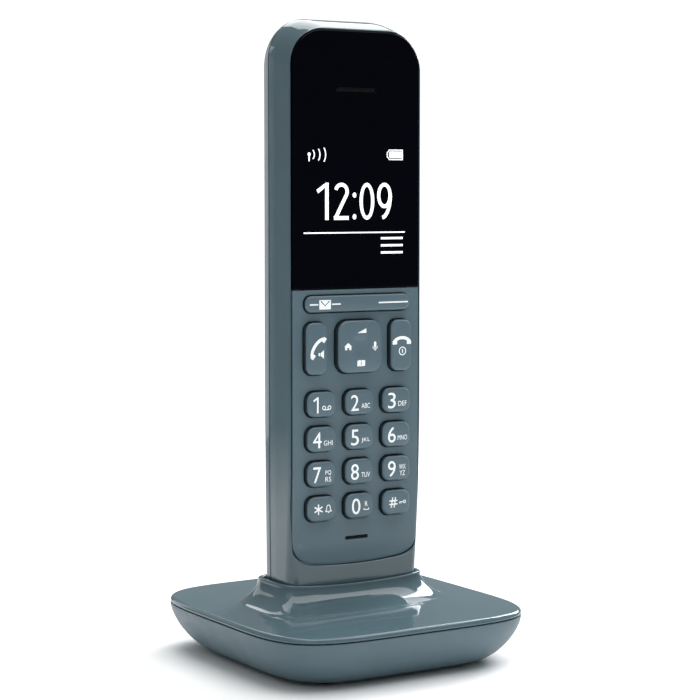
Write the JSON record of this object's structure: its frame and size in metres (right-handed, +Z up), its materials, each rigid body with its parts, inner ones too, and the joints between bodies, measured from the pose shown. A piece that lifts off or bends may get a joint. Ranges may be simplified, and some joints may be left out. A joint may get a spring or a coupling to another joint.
{
  "type": "cordless phone with base",
  "caption": "Slim bar-shaped cordless telephone with a keypad and dark display window, standing upright in the collar of a low square charging base.",
  "frame": {"origin": "centre of the base footprint, on the surface it stands on", "axes": "+Z up, -Y the way the keypad faces, +X to the right of a person facing the keypad"},
  "size_m": [0.0846, 0.0866, 0.1836],
  "materials": {
    "gloss_shell": "polished blue-grey ABS",
    "satin_tray": "fine satin blue-grey ABS",
    "satin_panel": "fine satin blue-grey polycarbonate",
    "key_plastic": "satin blue-grey key caps with white printed marks",
    "display_glass": "polished black acrylic window",
    "circuit_board": "green solder mask",
    "black_plastic": "moulded black",
    "rubber": "matte black elastomer",
    "steel": "plated steel",
    "contact_gold": "gold-plated contacts",
    "display_metal": "display frame",
    "cell_jacket": "plain printed film"
  },
  "bodies": {
    "base": {"base_top_cover": "gloss_shell", "base_bottom_tray": "satin_tray", "base_board": "circuit_board", "line_jack": "black_plastic", "power_jack": "black_plastic", "paging_switch": "black_plastic", "foot_1": "rubber", "foot_2": "rubber", "foot_3": "rubber", "foot_4": "rubber", "base_screw_1": "steel", "base_screw_2": "steel", "base_screw_3": "steel", "base_screw_4": "steel", "charge_barrel_left": "contact_gold", "charge_barrel_right": "contact_gold", "charge_spring_left": "steel", "charge_spring_right": "steel"},
    "handset": {"front_shell": "gloss_shell", "back_shell": "gloss_shell", "display_window": "display_glass", "keypad_panel": "satin_panel", "keypad_mat": "rubber", "handset_board": "circuit_board", "display_module": "display_metal", "earpiece": "black_plastic", "microphone": "black_plastic", "loudspeaker": "black_plastic", "antenna": "contact_gold", "radio_shield": "steel", "battery_cell_left": "cell_jacket", "battery_cell_right": "cell_jacket", "battery_link": "steel", "battery_contact_left": "steel", "battery_contact_right": "steel", "charge_contact_left": "contact_gold", "charge_contact_right": "contact_gold", "handset_screw_1": "steel", "handset_screw_2": "steel"},
    "battery_door": {"battery_door": "gloss_shell"},
    "paging_key": {"paging_key": "key_plastic"},
    "charge_pin_left": {"charge_pin_left": "contact_gold"},
    "charge_pin_right": {"charge_pin_right": "contact_gold"},
    "softkeys": {"key_softkeys": "key_plastic"},
    "navigation_actuator": {"navigation_actuator": "rubber"},
    "navigation_key": {"key_navigation": "key_plastic"},
    "key_star": {"key_star": "key_plastic"},
    "key_0": {"key_0": "key_plastic"},
    "key_hash": {"key_hash": "key_plastic"},
    "key_7": {"key_7": "key_plastic"},
    "key_8": {"key_8": "key_plastic"},
    "key_9": {"key_9": "key_plastic"},
    "key_4": {"key_4": "key_plastic"},
    "key_5": {"key_5": "key_plastic"},
    "key_6": {"key_6": "key_plastic"},
    "key_1": {"key_1": "key_plastic"},
    "key_2": {"key_2": "key_plastic"},
    "key_3": {"key_3": "key_plastic"},
    "key_call": {"key_call": "key_plastic"},
    "key_hang_up": {"key_hang_up": "key_plastic"}
  },
  "joints": [
    {"name": "handset_lift", "type": "slide", "parent": "base", "child": "handset", "axis": [0, 0, 1], "range_m": [0, 0.045]},
    {"name": "battery_door_release", "type": "slide", "parent": "handset", "child": "battery_door", "axis": [0, 1, 0], "range_m": [0, 0.03]},
    {"name": "key_star_press", "type": "slide", "parent": "handset", "child": "key_star", "axis": [0, 1, 0], "range_m": [0, 0.0007], "stiffness_N_per_m": 1000},
    {"name": "key_0_press", "type": "slide", "parent": "handset", "child": "key_0", "axis": [0, 1, 0], "range_m": [0, 0.0007], "stiffness_N_per_m": 1000},
    {"name": "key_hash_press", "type": "slide", "parent": "handset", "child": "key_hash", "axis": [0, 1, 0], "range_m": [0, 0.0007], "stiffness_N_per_m": 1000},
    {"name": "key_7_press", "type": "slide", "parent": "handset", "child": "key_7", "axis": [0, 1, 0], "range_m": [0, 0.0007], "stiffness_N_per_m": 1000},
    {"name": "key_8_press", "type": "slide", "parent": "handset", "child": "key_8", "axis": [0, 1, 0], "range_m": [0, 0.0007], "stiffness_N_per_m": 1000},
    {"name": "key_9_press", "type": "slide", "parent": "handset", "child": "key_9", "axis": [0, 1, 0], "range_m": [0, 0.0007], "stiffness_N_per_m": 1000},
    {"name": "key_4_press", "type": "slide", "parent": "handset", "child": "key_4", "axis": [0, 1, 0], "range_m": [0, 0.0007], "stiffness_N_per_m": 1000},
    {"name": "key_5_press", "type": "slide", "parent": "handset", "child": "key_5", "axis": [0, 1, 0], "range_m": [0, 0.0007], "stiffness_N_per_m": 1000},
    {"name": "key_6_press", "type": "slide", "parent": "handset", "child": "key_6", "axis": [0, 1, 0], "range_m": [0, 0.0007], "stiffness_N_per_m": 1000},
    {"name": "key_1_press", "type": "slide", "parent": "handset", "child": "key_1", "axis": [0, 1, 0], "range_m": [0, 0.0007], "stiffness_N_per_m": 1000},
    {"name": "key_2_press", "type": "slide", "parent": "handset", "child": "key_2", "axis": [0, 1, 0], "range_m": [0, 0.0007], "stiffness_N_per_m": 1000},
    {"name": "key_3_press", "type": "slide", "parent": "handset", "child": "key_3", "axis": [0, 1, 0], "range_m": [0, 0.0007], "stiffness_N_per_m": 1000},
    {"name": "key_call_press", "type": "slide", "parent": "handset", "child": "key_call", "axis": [0, 1, 0], "range_m": [0, 0.0007], "stiffness_N_per_m": 1000},
    {"name": "key_hang_up_press", "type": "slide", "parent": "handset", "child": "key_hang_up", "axis": [0, 1, 0], "range_m": [0, 0.0007], "stiffness_N_per_m": 1000},
    {"name": "softkeys_rock", "type": "hinge", "parent": "handset", "child": "softkeys", "pos_m": [0, -0.00535, 0.1029], "axis": [0, 0, 1], "range_deg": [-1.5, 1.5], "stiffness_Nm_per_rad": 0.05},
    {"name": "navigation_up_down", "type": "hinge", "parent": "handset", "child": "navigation_actuator", "pos_m": [0, -0.00495, 0.0905], "axis": [1, 0, 0], "range_deg": [-1.7, 1.7], "stiffness_Nm_per_rad": 0.05},
    {"name": "navigation_left_right", "type": "hinge", "parent": "navigation_actuator", "child": "navigation_key", "pos_m": [0, -0.00535, 0.0905], "axis": [0, 0, 1], "range_deg": [-1.7, 1.7], "stiffness_Nm_per_rad": 0.05},
    {"name": "paging_key_press", "type": "slide", "parent": "base", "child": "paging_key", "axis": [0, -1, 0], "range_m": [0, 0.0007], "stiffness_N_per_m": 1000},
    {"name": "charge_pin_left_sink", "type": "slide", "parent": "base", "child": "charge_pin_left", "axis": [0, 0, -1], "range_m": [0, 0.0012], "stiffness_N_per_m": 250, "deforming": ["charge_spring_left"]},
    {"name": "charge_pin_right_sink", "type": "slide", "parent": "base", "child": "charge_pin_right", "axis": [0, 0, -1], "range_m": [0, 0.0012], "stiffness_N_per_m": 250, "deforming": ["charge_spring_right"]}
  ]
}
